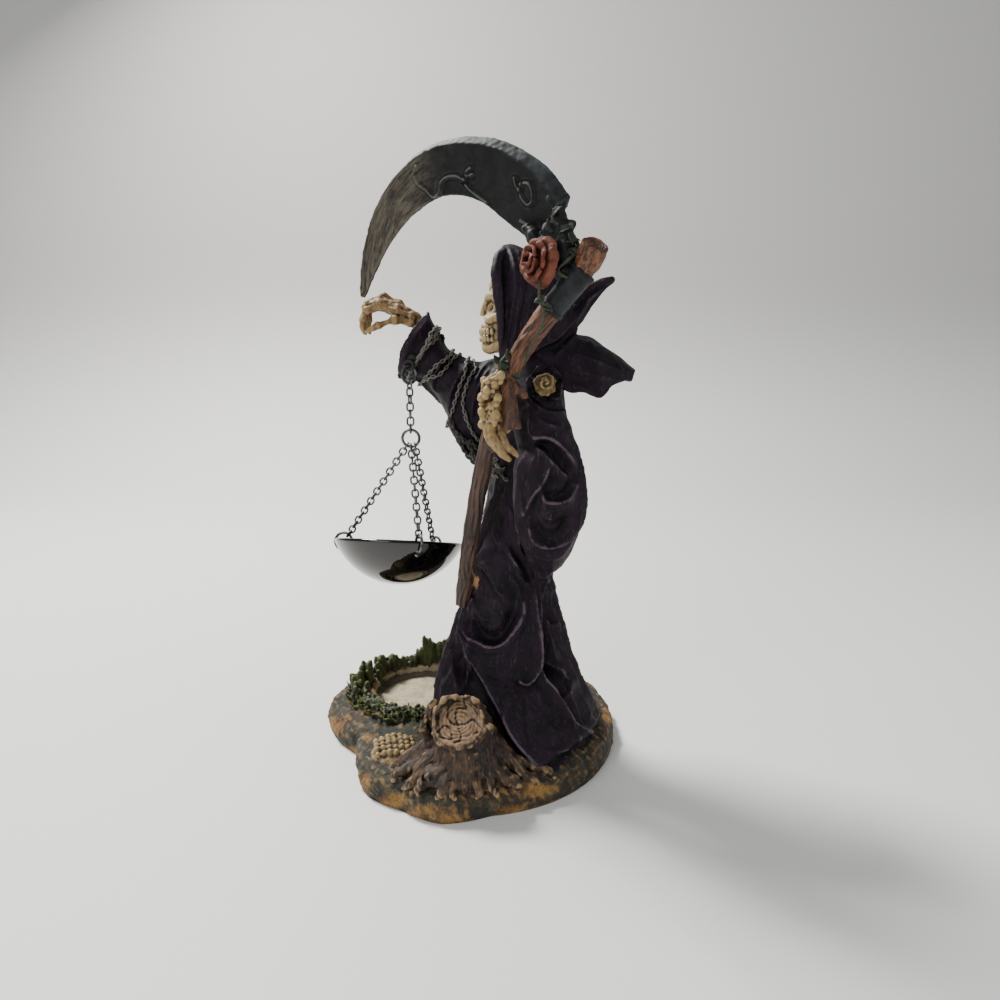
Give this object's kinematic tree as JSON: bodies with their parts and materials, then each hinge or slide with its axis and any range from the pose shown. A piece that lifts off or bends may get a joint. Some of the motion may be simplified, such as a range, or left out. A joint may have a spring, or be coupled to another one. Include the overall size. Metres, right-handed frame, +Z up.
{
  "type": "grim reaper figurine",
  "caption": "Robed skeleton figurine with a scythe; a chained oil dish hangs from its sleeve over a candle recess in the ground base.",
  "frame": {"origin": "on the flat underside, at the middle of the ground base", "axes": "+Z up; the figure faces -X, and its left side, which holds the scythe, is at -Y"},
  "size_m": [0.1557, 0.1545, 0.2821],
  "materials": {
    "painted_resin": "hand painted cast resin, dry brushed, satin",
    "scythe_resin": "hand painted cast resin, iron and wood effect",
    "black_glass": "polished opaque black",
    "gunmetal_wire": "blackened steel wire"
  },
  "bodies": {
    "root": {"reaper_figure": "painted_resin", "scythe": "scythe_resin", "oil_dish": "black_glass", "hanging_ring": "gunmetal_wire", "upper_chain": "gunmetal_wire", "spreader_ring": "gunmetal_wire", "dish_chain_left": "gunmetal_wire", "dish_chain_near": "gunmetal_wire", "dish_chain_far": "gunmetal_wire", "rim_ring_left": "gunmetal_wire", "rim_ring_near": "gunmetal_wire", "rim_ring_far": "gunmetal_wire"}
  },
  "joints": []
}
